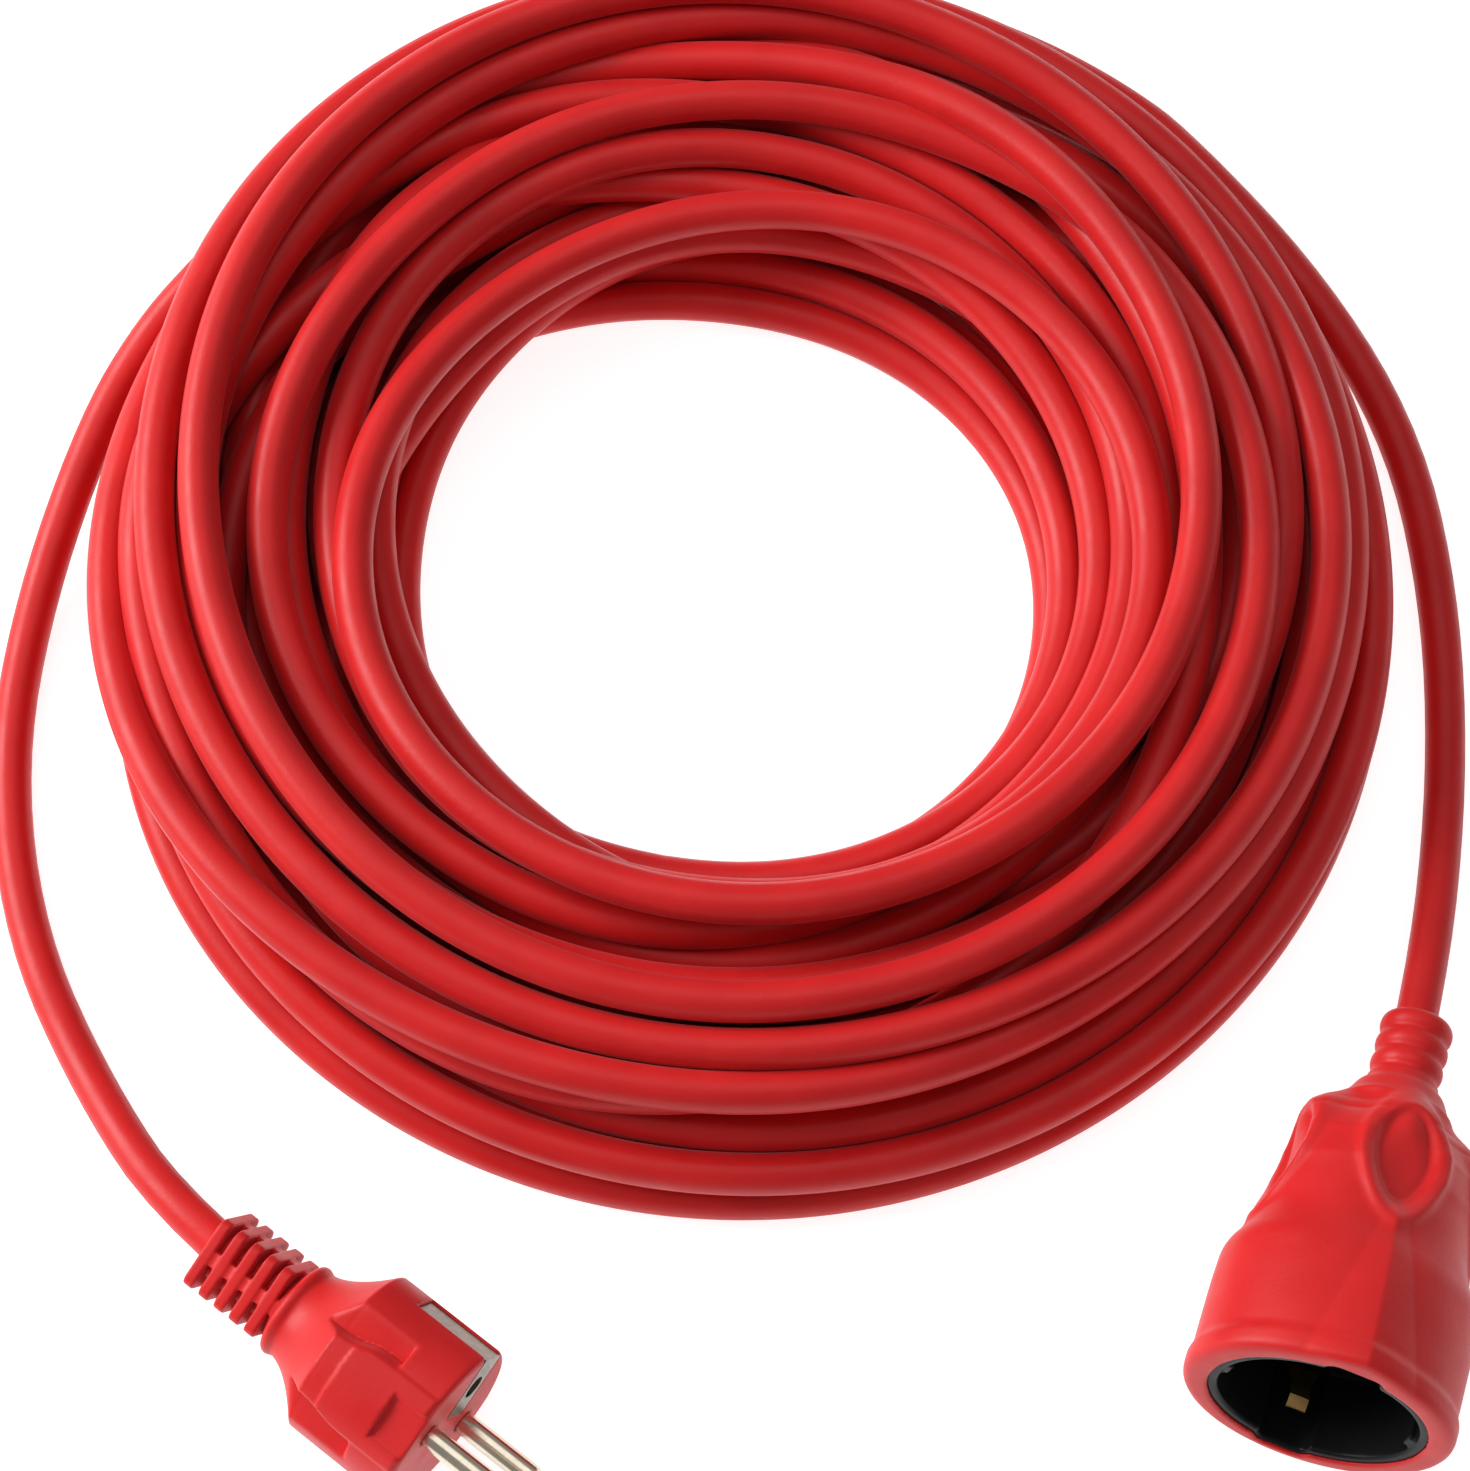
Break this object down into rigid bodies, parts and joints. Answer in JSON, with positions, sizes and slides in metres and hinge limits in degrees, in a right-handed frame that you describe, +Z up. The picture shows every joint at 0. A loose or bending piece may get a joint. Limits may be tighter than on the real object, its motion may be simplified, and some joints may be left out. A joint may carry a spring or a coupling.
{
  "type": "extension cord",
  "caption": "Loosely coiled three-core extension cord with a moulded earthed plug at one end and a moulded earthed coupler socket at the other.",
  "frame": {"origin": "on the floor, midway along and across the plug and the socket together", "axes": "+X runs from the plug to the socket, +Y towards the coil, +Z up from the floor"},
  "size_m": [0.3132, 0.3452, 0.0524],
  "materials": {
    "moulded_rubber_red": "matte soft moulding",
    "sheath_red": "matte flexible sheath",
    "insert_black": "glossy moulded",
    "base_black": "moulded",
    "carrier_grey": "moulded",
    "pin_plated": "polished nickel-plated brass",
    "strap_plated": "satin plated strip",
    "contact_brass": "drawn",
    "clip_brass": "rolled spring strip",
    "crimp_tinned": "tinned",
    "wire_copper": "bare copper strands",
    "core_brown": "smooth insulation",
    "core_blue": "smooth insulation",
    "core_green_yellow": "striped insulation"
  },
  "bodies": {
    "cord_set": {"cord_coil": "sheath_red", "cord_plug_tail": "sheath_red", "cord_socket_tail": "sheath_red", "plug_body": "moulded_rubber_red", "plug_core_blue": "core_blue", "plug_core_brown": "core_brown", "plug_core_green_yellow": "core_green_yellow", "plug_crimps": "crimp_tinned", "plug_earth_sleeve": "contact_brass", "plug_earth_strap": "strap_plated", "plug_pin_carrier": "carrier_grey", "plug_pin_live": "pin_plated", "plug_pin_neutral": "pin_plated", "plug_strain_relief": "moulded_rubber_red", "plug_wires": "wire_copper", "socket_body": "moulded_rubber_red", "socket_contact_base": "base_black", "socket_contact_live": "contact_brass", "socket_contact_neutral": "contact_brass", "socket_core_blue": "core_blue", "socket_core_brown": "core_brown", "socket_core_green_yellow": "core_green_yellow", "socket_crimps": "crimp_tinned", "socket_earth_bridge": "contact_brass", "socket_insert": "insert_black", "socket_wires": "wire_copper"},
    "upper_clip": {"earth_clip_upper": "clip_brass"},
    "lower_clip": {"earth_clip_lower": "clip_brass"}
  },
  "joints": [
    {"name": "upper_clip_flex", "type": "hinge", "parent": "cord_set", "child": "upper_clip", "pos_m": [0.10116, -0.01468, 0.04394], "axis": [-0.9269, 0.3336, 0.1717], "range_deg": [0, 8], "stiffness_Nm_per_rad": 0.3},
    {"name": "lower_clip_flex", "type": "hinge", "parent": "cord_set", "child": "lower_clip", "pos_m": [0.09261, -0.01808, 0.0044], "axis": [0.9269, -0.3336, -0.1717], "range_deg": [0, 8], "stiffness_Nm_per_rad": 0.3}
  ]
}
